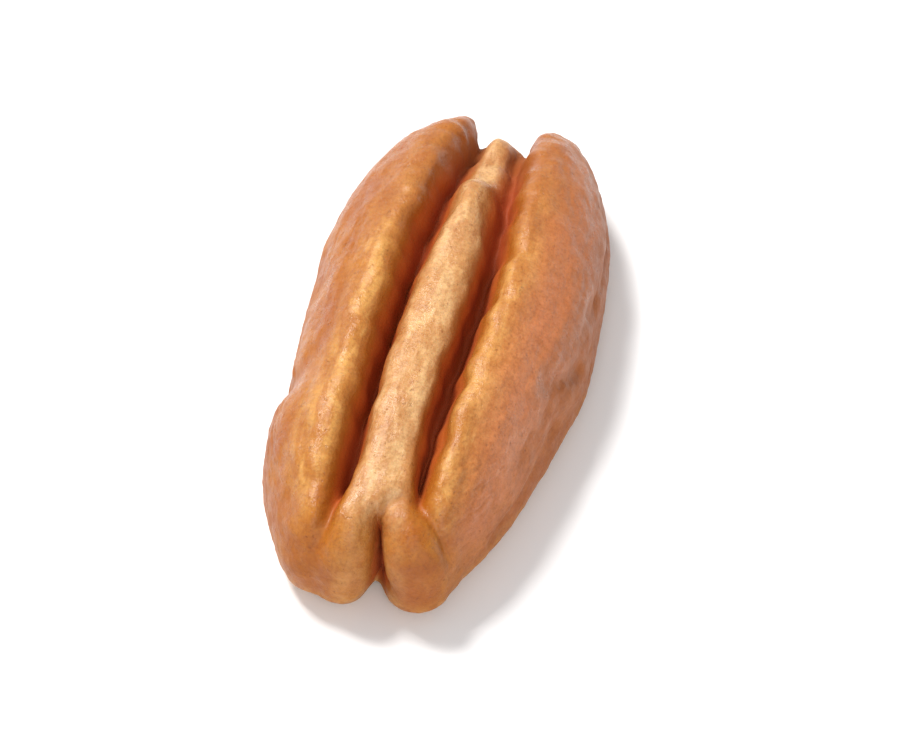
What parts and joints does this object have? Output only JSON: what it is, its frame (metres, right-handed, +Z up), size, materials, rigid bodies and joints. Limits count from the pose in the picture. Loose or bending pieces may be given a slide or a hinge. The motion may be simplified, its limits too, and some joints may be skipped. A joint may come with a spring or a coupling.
{
  "type": "pecan kernel half",
  "caption": "Shelled pecan half lying on its inner face, with a ridge between furrows along its rounded back and a cleft at its stem end.",
  "frame": {"origin": "on the plane that the kernel rests on, under the middle of its length and width", "axes": "+Y along the kernel to its tip, -Y to the cleft of its stem end, +X to its right, +Z up out of its rounded back"},
  "size_m": [0.0186, 0.038, 0.0095],
  "materials": {
    "skin": "satin brown nut skin"
  },
  "bodies": {
    "root": {"kernel": "skin"}
  },
  "joints": []
}
